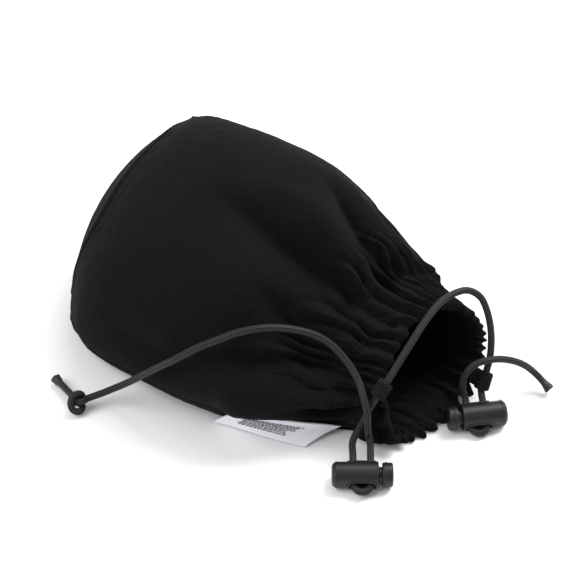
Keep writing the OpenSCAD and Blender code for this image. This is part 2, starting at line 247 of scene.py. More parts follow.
crease(D, [(92, -25, 60, 0), (98, -24, 56, 1.2), (103, -22.5, 51.5, 2.6), (106, -21.5, 48.5, 3.6), (109.5, -20, 44.5, 4.4), (112.5, -18, 42, 4.4),
           (115.5, -15, 39, 3.6), (120, -11.5, 34.5, 2.0)], 3.4, 6.5)
crease(D, [(112, -32, 30, 0), (114.5, -29.5, 27.5, 2.0), (119, -27, 21, 2.8), (122, -25, 17, 2.8), (126, -21.5, 13, 2.2), (131.5, -18, 11, 1.2)], 2.2, 2.8)
crease(D, [(112, -26, 36, 0.5), (116, -23, 32, 2.2), (121, -21, 25.5, 2.4), (128.5, -16.5, 21.5, 1.2)], 2.0, 2.2)
crease(D, [(104, -32, 24, 0), (110, -29, 21, 1.4), (116, -26, 15, 1.8), (121, -23.5, 10, 1.2)], 2.2, 2.6)
crease(D, [(86, 36, 65, 0), (96, 37, 58, 1.4), (106, 38, 50, 2.4), (114, 38, 42, 2.6), (120, 37.5, 36, 1.8)], 3.6, 4.0)
crease(D, [(100, 8, 63, 0), (107, 9, 57, 1.2), (112, 11, 52, 2.4), (117, 14, 46, 3.0), (121, 17, 42, 2.8), (126, 20, 38.5, 1.6)], 2.4, 3.0)
crease(D, [(104, -30, 44, 0), (110, -27, 40, 1.4), (116, -21, 35.5, 2.2), (121, -17, 31, 2.2), (126, -14.5, 27.5, 1.2)], 2.2, 2.8)
# fullness between them
crease(D, [(66, 5, 73, 0.3), (84, 6.5, 72, 2.0), (97, 7, 67, 3.2), (108, 8.5, 58, 3.4), (117, 12, 48, 2.6), (122, 14, 42, 1.4)], 6.0, 5.0, 1.0, 2.5)
crease(D, [(92, -22, 60, 0.6), (104, -14, 55, 1.4), (112, -9, 46, 1.6), (118, -5, 39, 1.2)], 6.0, 6.0, 1.0, 3.0)
crease(D, [(100, 36, 56, 0.4), (112, 33, 49, 1.2), (121, 33, 40.5, 1.8), (124, 33.5, 37, 1.2)], 5.0, 5.0, 1.0, 2.0)
crease(D, [(70, -46, 14, 0.5), (88, -43, 20, 1.6), (104, -37, 21, 1.8), (113, -31, 19, 1.2)], 7.0, 6.0, 1.0, 3.0)
crease(D, [(121, 37, 35, 0.8), (125, 38, 33, 2.2), (128, 38, 31, 1.4)], 3.0, 3.0, 1.0, 1.0)
# broad folds where the view shows none: the far side and the underside
unseen = (1 - smooth(12, 40, DEG)) * (DEG < 90) + smooth(200, 225, DEG)
ph = GT / (2 * math.pi) * 15 + 0.55 * WARP(GT / (2 * math.pi), (GX - 80) / 67) + 0.4 * WARP(GT / (2 * math.pi) + 0.37, (GX - 60) / 90)
ridge = np.abs(np.sin(math.pi * ph)) ** 0.8
D += (ridge - 0.62) * 2.6 * smooth(88, 124, GX) * (1 - smooth(128, 134, GX)) * unseen * (0.75 + 0.35 * BROAD(GT / (2 * math.pi), GX / 147))
# slack, low lumps over the whole cloth
D += 0.35 * BROAD(GT / (2 * math.pi) + 0.2, GX / 147) * smooth(8, 30, GX)

# gathers: uneven in width and height, wandering, running out into the panels
N_G = 31
rs = np.random.RandomState(21)


def gather_set(n, seed, lo, hi):
    r = np.random.RandomState(seed)
    e = np.cumsum(r.uniform(lo, hi, n))
    e = np.concatenate([[0], e / e[-1]])

    def cut(t):
        t = t % 1.0
        i = np.clip(np.searchsorted(e, t, side="right") - 1, 0, n - 1)
        return i, (t - e[i]) / (e[i + 1] - e[i])
    return cut


tt = GT / (2 * math.pi)
WA, WB, WC = Field(31, 13, 6), Field(32, 29, 9), Field(33, 40, 12)
warp = 0.013 * WA(tt, (GX - 96) / 52) + 0.0075 * WB(tt, (GX - 96) / 52)
warp *= 1 - 0.6 * smooth(139, 147, GX)
gi, gp = gather_set(N_G, 21, 0.5, 1.5)(tt + warp)
soft_hump = np.sin(math.pi * gp) ** 2
far_side = np.exp(-(((((DEG + 180) % 360) - 180 - 5) / 48) ** 2))
sharp = (1 - 0.75 * smooth(136, 146, GX)) * (1 - 0.8 * far_side)
hump = sharp * np.abs(np.sin(math.pi * gp)) ** 0.95 + (1 - sharp) * (0.15 + 0.85 * soft_hump)
heights = rs.uniform(0.55, 1.3, N_G)[gi]
reach = rs.uniform(9, 27, N_G)[gi]
fade_in = smooth(0, 1, (GX - (X_HEM - reach)) / reach)
cell = 0.85 + 0.5 * WC(tt, (GX - 110) / 38)
hem_t = np.clip((GX - X_HEM) / (X_LIP - X_HEM), 0, 1)
G = (hump - 0.62) * heights * cell * fade_in
D += 3.4 * (1 - 0.5 * far_side) * G * np.where(GX > X_HEM, 1 + 0.15 * np.sin(math.pi * hem_t), 1)
hi, hp = gather_set(83, 77, 0.5, 1.5)(tt + 1.4 * warp + 0.003 * WC(tt + 0.3, (GX - 110) / 38))
fade_b = smooth(118, 129, GX)
keen = (1 - 0.8 * smooth(137, 145, GX)) * (1 - 0.8 * far_side)
fine_hump = keen * np.abs(np.sin(math.pi * hp)) ** 0.8 + (1 - keen) * (0.25 + 0.7 * np.sin(math.pi * hp) ** 2)
D += 0.55 * (1 - 0.85 * far_side) * (fine_hump - 0.6) * fade_b * (0.7 + 0.6 * WB(tt + 0.4, (GX - 100) / 48))
# the elastic's channel puffs; the stitch line draws in where the cloth lies against it
D += 0.9 * np.sin(math.pi * hem_t) ** 0.8 * (GX > X_HEM)
line_x = X_HEM + 2.6 * WA(tt + 0.21, 0.5) + 1.8 * WB(tt + 0.6, 0.5)
D -= (0.30 + 0.8 * WB(tt + 0.11, 0.3)) * np.exp(-(((GX - line_x) / 2.1) ** 2)) * (0.3 + 0.9 * hump)
# swollen pleats just before the stitch line and inside the channel
D += 0.9 * (hump - 0.3) * np.exp(-(((GX - line_x + 4.5) / 3.0) ** 2)) * (0.6 + 0.8 * WC(tt + 0.5, 0.4))
# side seams: a narrow groove
for a0 in (0.0, math.pi):
    d = np.abs((GT - a0 + math.pi) % (2 * math.pi) - math.pi) * np.maximum(sec(GX, 2), 6)
    D -= 0.45 * np.exp(-((d / 0.8) ** 2)) * (1 - smooth(127, 133, GX)) * smooth(3, 8, GX)
# the closed end's seam lies over on the upper panel, with the lower panel rolled up behind it
seam_x = 17.3 * smooth(20, 62, DEG) * (1 - smooth(98, 150, DEG))
col = np.arange(NT)
seam_v = np.array([np.interp(seam_x[0, j], XS, VV[:, j]) for j in range(NT)])
sd = VV - seam_v[None, :]
on = smooth(16, 30, DEG) * (1 - smooth(150, 166, DEG))
D -= on * 0.95 * np.exp(-((sd / 0.75) ** 2))
D += on * 0.55 * np.exp(-(((sd + 3.0) / 2.2) ** 2))
D += on * 0.30 * np.exp(-(((sd - 2.4) / 1.6) ** 2))
# fine crumple
D += 0.10 * FINE(tt, GX / 147) * smooth(4, 20, GX) + 0.05 * FINE2(tt, GX / 147)
D += 0.16 * FINE(tt + 0.31, GX / 147) * smooth(104, 128, GX)

tag = smooth(92, 99, GX) * (1 - smooth(131, 136, GX)) * smooth(168, 178, DEG) * (1 - smooth(206, 222, DEG))
D = D * (1 - tag) + np.minimum(D, -0.3) * tag
D -= 1.5 * tag * smooth(179, 184, DEG) * (1 - smooth(196, 212, DEG))
D += 4.2 * smooth(94, 104, GX) * (1 - smooth(126, 133, GX)) * smooth(138, 160, DEG) * (1 - smooth(173, 180, DEG))
# the lip ruffles along the axis, and the lower lip sags to the floor
AXIS = unit([1.0, 0.16, 0.0])
frill = (1 - 0.7 * far_side) * ((soft_hump - 0.45) * 1.9 * heights + 0.22 * (np.sin(math.pi * hp) ** 2 - 0.5) + 1.1 * WB(tt + 0.7, 0.4)) * smooth(139, 147, GX)


def sag(x, deg):
    """How far the mouth end's lower half has sunk from the smooth skin."""
    k = smooth(160, 190, deg) * (1 - smooth(300, 335, deg))
    return np.stack([1.2 * k * smooth(134, 147, x), -0.8 * k * smooth(118, 147, x), -3.2 * k * smooth(104, 134, x)], -1)


SHIFT = frill[..., None] * AXIS + sag(GX, DEG)


def clear_of_lock(P, off):
    """Draws the lip back from the far lock, over the lock's whole travel."""
    t, r = math.radians(46), math.radians(24)
    u = -np.array([math.cos(t), math.sin(t), 0])
    v = np.array([-math.cos(r) * math.sin(t), math.cos(r) * math.cos(t), math.sin(r)])
    for k in (0.0, 1.2, 2.4):
        a = np.array([165.5, 16, 4.5]) + v * k
        w = np.clip((P - a) @ u, -7.5, 11.5)
        q = P - (a + w[..., None] * u)
        d = np.linalg.norm(q, axis=-1)
        along = q @ v
        room = (5.2 + off) ** 2 - d ** 2
        push = np.where((room > 0) & (along > -2.5), np.sqrt(np.maximum(room + along ** 2, 0)) - along, 0)
        P = P + v * np.minimum(push, 5.0)[..., None] * (GX > 130)[..., None]
    return P


def layer(off):
    """The cloth's surface off mm inside its outer face."""
    off = np.broadcast_to(np.asarray(off, float), GX.shape)
    P = clear_of_lock(BASE + SHIFT + NRM * (D - off)[..., None], off)
    P[..., 2] = np.maximum(P[..., 2], 0.15 + 0.85 * off)
    return P


OUTER = layer(0.0)

# ---------------------------------------------------------------- cord routes
def lock_axes(turn, rise, flip):
    t, r = math.radians(turn), math.radians(rise)
    u = np.array([math.cos(t), math.sin(t), 0]) * (-1 if flip else 1)
    v = np.array([-math.cos(r) * math.sin(t), math.cos(r) * math.cos(t), math.sin(r)])
    return u, v


NEAR_AT, FAR_AT = np.array([146, -34.5, 4.5]), np.array([165.5, 16, 4.5])
NU, NV = lock_axes(37, 15, False)
FU, FV = lock_axes(46, 24, True)


def in_lock(at, u, v, x, y):
    return at + x * u + y * v


def u_turn(at, u, v, x0, y_end):
    out = [in_lock(at, u, v, x0 - 3, y) for y in (y_end, y_end - 5, 1.5, -3.7)]
    out += [in_lock(at, u, v, x0 + 3 * math.cos(math.radians(a)), -3.7 + 3 * math.sin(math.radians(a))) for a in range(-150, -20, 30)]
    out += [in_lock(at, u, v, x0 + 3, y) for y in (-3.7, 1.5, y_end - 5, y_end)]
    return out


NL, NLD = np.array([141.5, -13.5, 26]), unit([0.17, 0.68, 0.71])
FL, FLD = np.array([159.4, 24.5, 11.2]), unit([-0.07, 0.53, 0.845])
R_TAIL = [NL, NL - 3.5 * NLD, (139.8, -18, 19.5), (138.8, -19.2, 15), (138, -20.5, 11.5)]
R_TAIL += u_turn(NEAR_AT, NU, NV, 2.4, 13)
R_TAIL += [(141.5, -20.5, 10), (142, -22, 15.5), (141.5, -21.5, 20), (138.5, -19.5, 24.5), (133, -16, 28.5), (128.5, -15, 32), (122.5, -15.5, 37),
           (118, -18, 41), (113, -22.5, 44.5), (106, -30, 47.5), (99, -37.5, 47), (94, -42.5, 44.5), (88.5, -47, 41), (82.5, -50.5, 35.5),
           (74.5, -52, 27.5), (67.5, -52.5, 20), (61.5, -53, 13.5), (56.5, -54.5, 9), (52.5, -57, 6), (49.5, -60, 4.5), (47.8, -62.3, 3.9)]
R_SPAN = [NL, NL + 3.5 * NLD, (142.5, -5, 33), (142.5, 1.5, 36.5), (142, 11, 40), (142, 20, 42), (143.5, 26.5, 42.5), (146, 32, 41.5),
          (149.5, 34.5, 38.5), (152.5, 34.5, 34), (155.5, 33, 28.5), (157.5, 31, 23), (158.8, 28.5, 18), FL + 3.5 * FLD, FL]
R_FAR = [FL, FL - 3.2 * FLD] + u_turn(FAR_AT, FU, FV, 2.4, 7)
R_FAR += [(155.5, 17.2, 10), (155, 17.8, 14.5), (156, 19.5, 18.2), (157.4, 22.2, 20), (159.6, 25.3, 20.5), (162, 30, 19), (165, 35.5, 15.5),
          (167.5, 39.5, 11.5), (169.5, 42.2, 7.5), (171.5, 43.2, 5.2)]


def smooth_route(pts, step=0.4, rounds=2):
    """One smooth curve through the points: centripetal Catmull-Rom, resampled evenly, lightly relaxed."""
    p = np.array([np.asarray(q, float) for q in pts])
    p = np.vstack([2 * p[0] - p[1], p, 2 * p[-1] - p[-2]])
    out = []
    for i in range(1, len(p) - 2):
        p0, p1, p2, p3 = p[i - 1:i + 3]
        t0 = 0.0
        t1 = t0 + np.linalg.norm(p1 - p0) ** 0.5
        t2 = t1 + np.linalg.norm(p2 - p1) ** 0.5
        t3 = t2 + np.linalg.norm(p3 - p2) ** 0.5
        n = max(4, int(np.linalg.norm(p2 - p1) / 0.2))
        for t in np.linspace(t1, t2, n, endpoint=False):
            a1 = (t1 - t) / (t1 - t0) * p0 + (t - t0) / (t1 - t0) * p1
            a2 = (t2 - t) / (t2 - t1) * p1 + (t - t1) / (t2 - t1) * p2
            a3 = (t3 - t) / (t3 - t2) * p2 + (t - t2) / (t3 - t2) * p3
            b1 = (t2 - t) / (t2 - t0) * a1 + (t - t0) / (t2 - t0) * a2
            b2 = (t3 - t) / (t3 - t1) * a2 + (t - t1) / (t3 - t1) * a3
            out.append((t2 - t) / (t2 - t1) * b1 + (t - t1) / (t2 - t1) * b2)
    out.append(p[-2])
    q = np.array(out)
    L = np.concatenate([[0], np.cumsum(np.linalg.norm(np.diff(q, axis=0), axis=1))])
    n = int(L[-1] / step)
    q = np.stack([np.interp(np.linspace(0, L[-1], n + 1), L, q[:, k]) for k in range(3)], 1)
    for _ in range(rounds * 4):
        q[1:-1] = (q[:-2] + 2 * q[1:-1] + q[2:]) / 4
    return q


C_TAIL, C_SPAN, C_FAR = smooth_route(R_TAIL), smooth_route(R_SPAN), smooth_route(R_FAR)


def length_of(q):
    return float(np.linalg.norm(np.diff(q, axis=0), axis=1).sum())


def press(P, line, gap):
    """Cloth gives way where the cord lies on it."""
    flat = P.reshape(-1, 3)
    lo, hi = line.min(0) - 3, line.max(0) + 3
    k = np.where(((flat > lo) & (flat < hi)).all(1))[0]
    for a in range(0, len(k), 4000):
        kk = k[a:a + 4000]
        v = flat[kk][:, None] - line[None]
        d = np.linalg.norm(v, axis=2)
        j = d.argmin(1)
        dm = d[np.arange(len(kk)), j]
        near = dm < gap
        if near.any():
            n = NRM.reshape(-1, 3)[kk[near]]
            push = (gap - dm[near])[:, None]
            flat[kk[near]] -= n * push * 1.15
    return flat.reshape(P.shape)


for line in (C_TAIL, C_SPAN, C_FAR):
    OUTER = press(OUTER, line[::2], 1.5)

# ---------------------------------------------------------------- materials
def material(name):
    mat = bpy.data.materials.new(name)
    mat.use_nodes = True
    nt = mat.node_tree
    nt.nodes.clear()
    out = nt.nodes.new("ShaderNodeOutputMaterial")
    sh = nt.nodes.new("ShaderNodeBsdfPrincipled")
    nt.links.new(sh.outputs[0], out.inputs[0])
    return mat, nt, sh


def node(nt, kind, **kw):
    n = nt.nodes.new(kind)
    for k, v in kw.items():
        if k.startswith("i_"):
            n.inputs[int(k[2:])].default_value = v
        else:
            setattr(n, k, v)
    return n


def link(nt, a, b):
    nt.links.new(a, b)


def maths(nt, op, a, b=None, c=None):
    n = nt.nodes.new("ShaderNodeMath")
    n.operation = op
    for i, v in enumerate((a, b, c)):
        if v is None:
            continue
        if isinstance(v, (int, float)):
            n.inputs[i].default_value = v
        else:
            nt.links.new(v, n.inputs[i])
    return n.outputs[0]


def ramp(nt, fac, stops):
    n = nt.nodes.new("ShaderNodeValToRGB")
    el = n.color_ramp.elements
    while len(el) > 1:
        el.remove(el[-1])
    el[0].position, el[0].color = stops[0][0], (*stops[0][1], 1)
    for p, c in stops[1:]:
        e = el.new(p)
        e.color = (*c, 1)
    nt.links.new(fac, n.inputs[0])
    return n.outputs[0]


def mix(nt, fac, a, b, kind="MIX"):
    n = nt.nodes.new("ShaderNodeMix")
    n.data_type = "RGBA"
    n.blend_type = kind
    for s, v in ((0, fac), (6, a), (7, b)):
        if isinstance(v, (int, float)):
            n.inputs[s].default_value = v
        elif isinstance(v, tuple):
            n.inputs[s].default_value = (*v, 1)
        else:
            nt.links.new(v, n.inputs[s])
    return n.outputs[2]


def bump(nt, height, strength, dist, sh, prev=None):
    b = nt.nodes.new("ShaderNodeBump")
    b.inputs["Strength"].default_value = strength
    b.inputs["Distance"].default_value = dist
    nt.links.new(height, b.inputs["Height"])
    if prev is not None:
        nt.links.new(prev, b.inputs["Normal"])
    nt.links.new(b.outputs[0], sh.inputs["Normal"])
    return b.outputs[0]


def noise(nt, vec, scale, detail=3.0, rough=0.5):
    n = nt.nodes.new("ShaderNodeTexNoise")
    n.inputs["Scale"].default_value = scale
    n.inputs["Detail"].default_value = detail
    n.inputs["Roughness"].default_value = rough
    nt.links.new(vec, n.inputs["Vector"])
    return n.outputs[0]


def obj_coord(nt):
    return nt.nodes.new("ShaderNodeTexCoord").outputs["Object"]


def uv_parts(nt):
    u = nt.nodes.new("ShaderNodeUVMap")
    u.uv_map = "weave"
    s = nt.nodes.new("ShaderNodeSeparateXYZ")
    nt.links.new(u.outputs[0], s.inputs[0])
    return s.outputs[0], s.outputs[1]


def twill(name, dark, light, pitch=0.86, gain=1.0):
    """Black ribbed twill: ribs round the hoop, threads across them; colour lighter on rib and thread crests and darker
    in the grooves (painted highlight and painted shade on the weave), with slub and cloud noise for tone.
    """
    mat, nt, sh = material(name)
    u, v = uv_parts(nt)
    oc = obj_coord(nt)
    wob = noise(nt, oc, 60.0, 2.0)
    slub = noise(nt, oc, 900.0, 2.0)
    cloud = noise(nt, oc, 28.0, 4.0, 0.6)
    ph = maths(nt, "ADD", maths(nt, "MULTIPLY", v, 2 * math.pi / pitch), maths(nt, "MULTIPLY", wob, 9.0))
    ph = maths(nt, "ADD", ph, maths(nt, "MULTIPLY", u, 0.22))
    rib = maths(nt, "MULTIPLY_ADD", maths(nt, "SINE", ph), 0.5, 0.5)
    th = maths(nt, "SINE", maths(nt, "ADD", maths(nt, "MULTIPLY", u, 2 * math.pi / 0.55), maths(nt, "MULTIPLY", ph, 0.5)))
    th = maths(nt, "MULTIPLY_ADD", th, 0.5, 0.5)
    h = maths(nt, "ADD", maths(nt, "MULTIPLY", rib, 0.75), maths(nt, "MULTIPLY", th, 0.25))
    f = maths(nt, "ADD", maths(nt, "MULTIPLY", h, 0.72), maths(nt, "MULTIPLY", slub, 0.35))
    f = maths(nt, "ADD", f, maths(nt, "MULTIPLY", cloud, 0.25))
    # colour follows rib and thread height: painted highlight on the crests, painted shade in the grooves; slub and
    # cloud noise add real tone
    col = ramp(nt, f, [(0.25, dark), (0.60, tuple((a + b) / 2 for a, b in zip(dark, light))), (0.95, light)])
    link(nt, col, sh.inputs["Base Color"])
    sh.inputs["Roughness"].default_value = 0.86
    sh.inputs["Specular IOR Level"].default_value = 0.05
    sh.inputs["Sheen Weight"].default_value = 0.018
    sh.inputs["Sheen Roughness"].default_value = 0.4
    sh.inputs["Sheen Tint"].default_value = (0.9, 0.9, 1.0, 1)
    bump(nt, h, 0.55 * gain, 0.00022, sh)
    return mat


def braid(name):
    """Grey-brown braided elastic: cord yarns run along it, crossed by a fine plait."""
    mat, nt, sh = material(name)
    u, v = uv_parts(nt)  # u round (0..1), v along in mm
    oc = obj_coord(nt)
    a = maths(nt, "SINE", maths(nt, "MULTIPLY", u, 2 * math.pi * 9))
    b = maths(nt, "SINE", maths(nt, "ADD", maths(nt, "MULTIPLY", u, 2 * math.pi * 9), maths(nt, "MULTIPLY", v, 4.2)))
    c = maths(nt, "SINE", maths(nt, "SUBTRACT", maths(nt, "MULTIPLY", u, 2 * math.pi * 9), maths(nt, "MULTIPLY", v, 4.2)))
    pl = maths(nt, "MULTIPLY", b, c)
    h = maths(nt, "ADD", maths(nt, "MULTIPLY_ADD", a, 0.3, 0.5), maths(nt, "MULTIPLY", pl, 0.2))
    n1 = noise(nt, oc, 700.0, 2.0)
    f = maths(nt, "ADD", maths(nt, "MULTIPLY", h, 0.8), maths(nt, "MULTIPLY", n1, 0.3))
    # colour follows the yarn ridges: painted highlight streaks along the ridges, painted shade between the yarns, with
    # noise for tone
    col = ramp(nt, f, [(0.15, (0.0032, 0.0032, 0.003)), (0.55, (0.0168, 0.0158, 0.0146)), (0.95, (0.043, 0.0405, 0.037))])
    link(nt, col, sh.inputs["Base Color"])
    link(nt, ramp(nt, n1, [(0.3, (0.42,) * 3), (0.7, (0.62,) * 3)]), sh.inputs["Roughness"])
    sh.inputs["Specular IOR Level"].default_value = 0.16
    sh.inputs["Sheen Weight"].default_value = 0.02
    sh.inputs["Sheen Roughness"].default_value = 0.4
    bump(nt, h, 0.6, 0.0002, sh)
    return mat


def plastic(name, base=(0.0086, 0.0084, 0.0084)):
    """Satin moulded plastic with a fine spark-eroded grain and a blotchy tone and gloss."""
    mat, nt, sh = material(name)
    oc = obj_coord(nt)
    g = noise(nt, oc, 2600.0, 3.0, 0.6)
    c = noise(nt, oc, 160.0, 4.0, 0.6)
    col = ramp(nt, c, [(0.3, tuple(x * 0.86 for x in base)), (0.6, base), (0.8, tuple(x * 1.25 for x in base))])
    link(nt, col, sh.inputs["Base Color"])
    link(nt, ramp(nt, c, [(0.3, (0.36,) * 3), (0.75, (0.50,) * 3)]), sh.inputs["Roughness"])
    sh.inputs["Specular IOR Level"].default_value = 0.34
    bump(nt, g, 0.22, 0.00006, sh)
    return mat


def steel(name):
    mat, nt, sh = material(name)
    oc = obj_coord(nt)
    g = noise(nt, oc, 1500.0, 2.0)
    link(nt, ramp(nt, g, [(0.3, (0.42, 0.43, 0.45)), (0.7, (0.62, 0.63, 0.65))]), sh.inputs["Base Color"])
    link(nt, ramp(nt, g, [(0.3, (0.22,) * 3), (0.7, (0.38,) * 3)]), sh.inputs["Roughness"])
    sh.inputs["Metallic"].default_value = 1.0
    return mat


def label_cloth(name):
    """White woven label: satin threads across, a faint lavender cast."""
    mat, nt, sh = material(name)
    u, v = uv_parts(nt)
    oc = obj_coord(nt)
    a = maths(nt, "SINE", maths(nt, "MULTIPLY", u, 2 * math.pi / 0.35))
    b = maths(nt, "SINE", maths(nt, "MULTIPLY", v, 2 * math.pi / 0.5))
    h = maths(nt, "MULTIPLY_ADD", maths(nt, "MULTIPLY", a, b), 0.5, 0.5)
    n1 = noise(nt, oc, 80.0, 3.0)
    f = maths(nt, "ADD", maths(nt, "MULTIPLY", h, 0.4), maths(nt, "MULTIPLY", n1, 0.6))
    # colour partly follows the weave height: painted shade between the threads, plus noise for tone
    link(nt, ramp(nt, f, [(0.2, (0.78, 0.77, 0.85)), (0.8, (0.90, 0.89, 0.95))]), sh.inputs["Base Color"])
    sh.inputs["Roughness"].default_value = 0.6
    bump(nt, h, 0.3, 0.00008, sh)
    return mat


def ink(name):
    mat, nt, sh = material(name)
    n1 = noise(nt, obj_coord(nt), 1800.0, 2.0)
    link(nt, ramp(nt, n1, [(0.3, (0.02, 0.02, 0.025)), (0.75, (0.14, 0.14, 0.16))]), sh.inputs["Base Color"])
    sh.inputs["Roughness"].default_value = 0.7
    return mat


M_FAB = twill("black_twill", (0.0006, 0.0006, 0.0007), (0.0086, 0.0085, 0.0091))
# the black twill again with its light tone dimmed and a flatter bump: a painted-shade copy of the cloth for the seam
# binding inside the pouch
M_FAB_INSIDE_PAINTED_SHADE = twill("black_twill_inside_painted_shade", (0.0006, 0.0006, 0.0007), (0.0050, 0.0050, 0.0053), gain=0.3)
M_TAPE = twill("black_grosgrain", (0.002, 0.002, 0.0022), (0.019, 0.019, 0.020), pitch=0.72, gain=1.2)
M_CORD = braid("braided_elastic")
M_PLA = plastic("satin_plastic")
M_FUSE = plastic("fused_cord_end", (0.0135, 0.0126, 0.0117))
M_STEEL = steel("spring_wire")
M_LABEL = label_cloth("label_satin")
M_INK = ink("label_print")
M_ELA = twill("flat_elastic", (0.25, 0.25, 0.24), (0.55, 0.55, 0.53), pitch=1.0, gain=0.8)


def finish_piece(ob, mat, body, replaces=()):
    ob.data.materials.clear()
    ob.data.materials.append(mat)
    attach(ob, body)
    if replaces:
        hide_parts(*replaces)
    return ob


# ---------------------------------------------------------------- pouch pieces
iH = int(np.argmin(abs(XS - X_HEM)))
half = NT // 2


def shell(name, rows, cols, thick):
    """A closed piece of cloth: outer face, inner face, edges. rows, cols index the grid; cols don't wrap."""
    inner = layer(thick)
    inner = np.minimum(inner, 1e9)
    a = OUTER[np.ix_(rows, cols)]
    b = OUTER[np.ix_(rows, cols)] - NRM[np.ix_(rows, cols)] * thick
    b[..., 2] = np.maximum(b[..., 2], 0.15 + 0.85 * thick)
    uv = np.stack([UU[np.ix_(rows, cols)], VV[np.ix_(rows, cols)]], -1)
    r, c = len(rows), len(cols)
    n = r * c
    f = [(q[3], q[2], q[1], q[0]) for q in grid_faces(r, c, False)]
    f += grid_faces(r, c, False, n)
    for j in range(c - 1):
        f.append((j, j + 1, n + j + 1, n + j))
        e = (r - 1) * c
        f.append((e + j + 1, e + j, n + e + j, n + e + j + 1))
    for i in range(r - 1):
        f.append(((i + 1) * c, i * c, n + i * c, n + (i + 1) * c))
        k = c - 1
        f.append((i * c + k, (i + 1) * c + k, n + (i + 1) * c + k, n + i * c + k))
    V = np.vstack([a.reshape(-1, 3), b.reshape(-1, 3)])
    U = np.vstack([uv.reshape(-1, 2), uv.reshape(-1, 2)])
    return add_mesh(name, V, f, U)


rows = np.arange(0, iH + 1)
front = shell("upper_panel_cloth", rows, np.arange(0, half + 1), 1.2)
back = shell("lower_panel_cloth", rows, np.concatenate([np.arange(half, NT), [0]]), 1.2)
finish_piece(front, M_FAB, "pouch", ["front_panel"])
finish_piece(back, M_FAB, "pouch", ["back_panel"])

# the gathered hem: outer face, rolled lip, inner face, back to the stitch line
prof = [(i, 0.0) for i in range(iH, len(XS))]
lip = len(XS) - 1
T_HEM = 2.6
ring = [OUTER[i] for i, _ in prof]
u_r = [np.stack([UU[i], VV[i]], -1) for i, _ in prof]
for k in range(1, 8):
    a = math.pi * k / 8
    off = T_HEM / 2 * (1 - math.cos(a))
    P = OUTER[lip] - NRM[lip] * off + AXIS * (1.15 * math.sin(a))
    P[:, 2] = np.maximum(P[:, 2], 0.15 + 0.85 * off)
    ring.append(P)
    u_r.append(np.stack([UU[lip], VV[lip] + 0.6 * k], -1))
inner_rows = list(range(lip, iH - 1, -2))
for i in inner_rows:
    k = 0.55 * np.sin(math.pi * np.clip((XS[i] - X_HEM) / (X_LIP - X_HEM), 0, 1))
    th = 1.25 + (T_HEM - 1.25) * smooth(X_HEM, X_HEM + 3, XS[i])
    P = OUTER[i] - NRM[i] * (th + k + 0.25 * D[i][:, None])
    P[:, 2] = np.maximum(P[:, 2], 0.15 + 0.85 * th)
    ring.append(P)
    u_r.append(np.stack([UU[i], VV[i]], -1))
R = len(ring)
f = [(q[3], q[2], q[1], q[0]) for q in grid_faces(R, NT, True)]
f += [((R - 1) * NT + (j + 1) % NT, (R - 1) * NT + j, j, (j + 1) % NT)[::-1] for j in range(NT)]
hem = add_mesh("gathered_hem", np.concatenate(ring), f, np.concatenate(u_r))
finish_piece(hem, M_FAB, "pouch", ["mouth_casing"])

# flat elastic inside the hem, following its gathers
er = [i for i in range(iH + 5, lip - 4, 2)]
Pe = [OUTER[i] - NRM[i] * 1.05 for i in er] + [OUTER[i] - NRM[i] * 1.65 for i in er[::-1]]
for p in Pe:
    p[:, 2] = np.maximum(p[:, 2], 1.1)
f = grid_faces(len(Pe), NT, True)
f += [((len(Pe) - 1) * NT + j, (len(Pe) - 1) * NT + (j + 1) % NT, (j + 1) % NT, j) for j in range(NT)]
ela = add_mesh("elastic_band", np.concatenate(Pe), f, np.concatenate([np.stack([UU[i], VV[i]], -1) for i in er + er[::-1]]))
finish_piece(ela, M_ELA, "pouch", ["mouth_elastic"])


# ---------------------------------------------------------------- tubes
def tube(name, q, r, relief=None, sides=28, flare=None, caps=True):
    """A round cord along q. relief(phi, s) in mm; flare(s) multiplies the radius."""
    t = np.gradient(q, axis=0)
    t /= np.linalg.norm(t, axis=1, keepdims=True)
    a = np.cross(t[0], [0.3, 0.2, 0.9])
    a /= np.linalg.norm(a)
    A = [a]
    for i in range(1, len(q)):
        a = A[-1] - (A[-1] @ t[i]) * t[i]
        A.append(a / np.linalg.norm(a))
    A = np.array(A)
    B = np.cross(t, A)
    L = np.concatenate([[0], np.cumsum(np.linalg.norm(np.diff(q, axis=0), axis=1))])
    ph = np.arange(sides) * 2 * math.pi / sides
    rad = np.full((len(q), sides), r)
    if relief is not None:
        rad = rad + relief(ph[None, :], L[:, None])
    if flare is not None:
        rad = rad * flare(L / L[-1])[:, None]
    P = q[:, None] + rad[..., None] * (np.cos(ph)[None, :, None] * A[:, None] + np.sin(ph)[None, :, None] * B[:, None])
    uv = np.stack(np.broadcast_arrays(np.arange(sides)[None, :] / sides, L[:, None]), -1)
    V = P.reshape(-1, 3)
    U = uv.reshape(-1, 2)
    f = grid_faces(len(q), sides, True)
    if caps:
        n = len(V)
        V = np.vstack([V, q[0], q[-1]])
        U = np.vstack([U, [0, 0], [0, L[-1]]])
        e = (len(q) - 1) * sides
        f += [((j + 1) % sides, j, n) for j in range(sides)] + [(e + j, e + (j + 1) % sides, n + 1) for j in range(sides)]
    V[:, 2] = np.maximum(V[:, 2], 0.03)
    return add_mesh(name, V, f, U)


def ribs(phi, s):
    return 0.055 * np.cos(9 * phi) + 0.02 * np.cos(9 * phi + 4.2 * s) * np.cos(9 * phi - 4.2 * s)


CORD_R = 1.2
for nm, q, nd in (("elastic_cord_tail", C_TAIL, "cord_tail"), ("elastic_cord_span", C_SPAN, "cord_span"), ("elastic_cord_far", C_FAR, "cord_far")):
    ob = tube(nm, q, CORD_R, ribs, sides=36)
    finish_piece(ob, M_CORD, "pouch", [nd])

